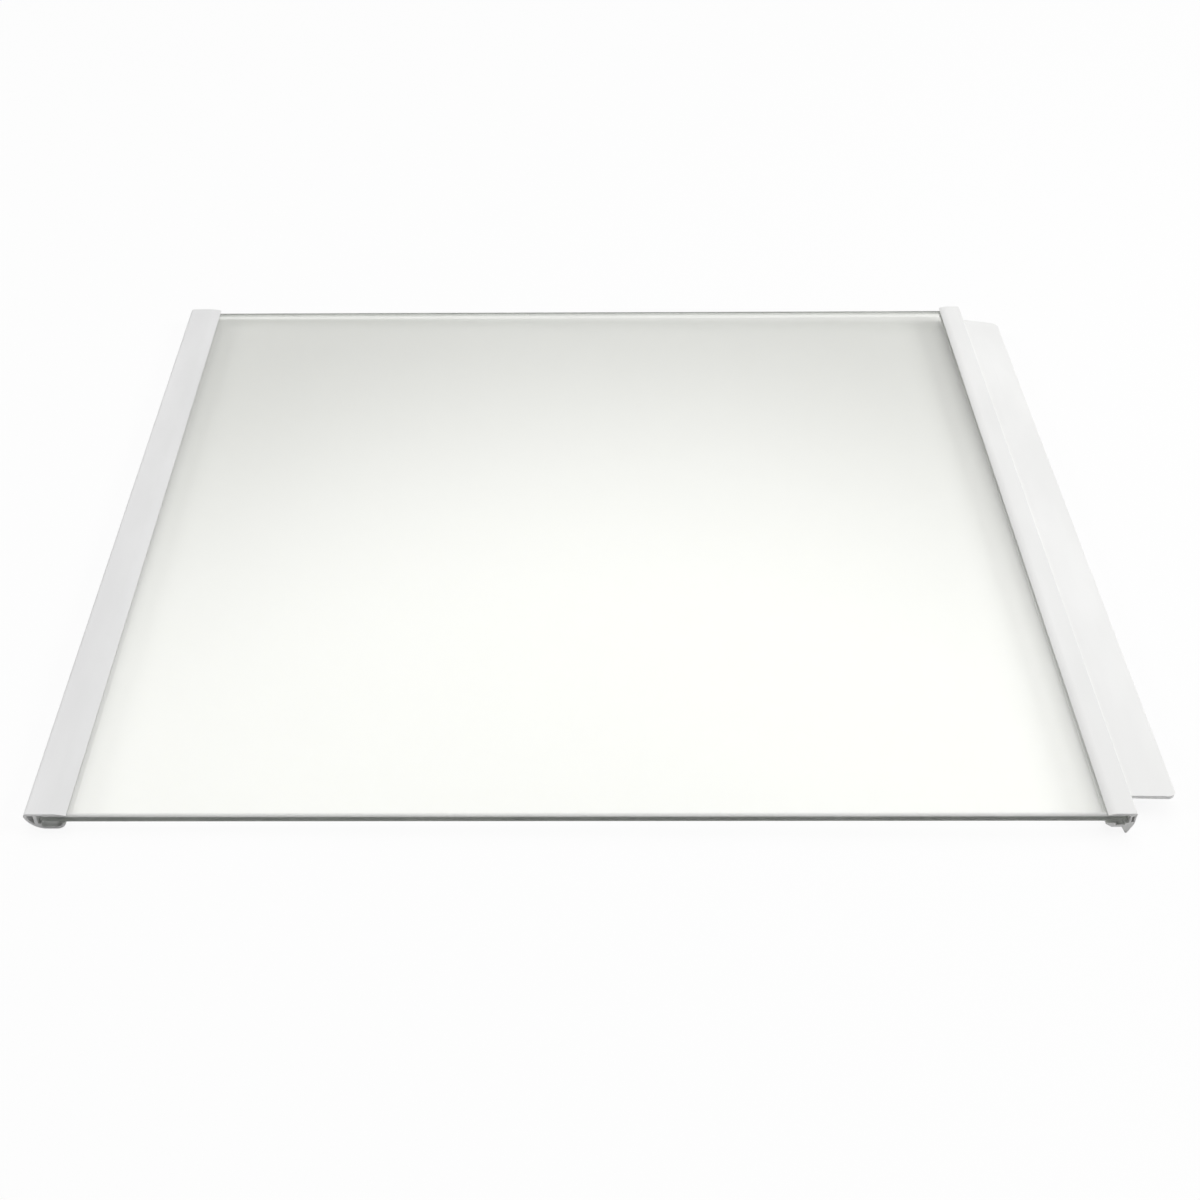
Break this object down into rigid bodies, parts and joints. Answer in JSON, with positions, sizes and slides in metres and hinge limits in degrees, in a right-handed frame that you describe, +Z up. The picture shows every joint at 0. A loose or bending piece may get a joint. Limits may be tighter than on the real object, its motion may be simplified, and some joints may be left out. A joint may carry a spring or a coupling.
{
  "type": "refrigerator glass shelf",
  "caption": "Flat clear glass fridge shelf with a hollow white plastic trim along the front edge and a flanged white plastic clip trim along the rear edge.",
  "frame": {"origin": "middle of the footprint, on the surface that the rear trim's drip leg stands on", "axes": "+X from side to side along the trims, +Y from the front trim to the rear flange, +Z up out of the shelf"},
  "size_m": [0.343, 0.4228, 0.0108],
  "materials": {
    "clear_glass": "polished float glass with ground edges",
    "white_plastic": "satin extruded plastic"
  },
  "bodies": {
    "root": {"glass_pane": "clear_glass", "front_trim": "white_plastic", "rear_trim": "white_plastic"}
  },
  "joints": []
}
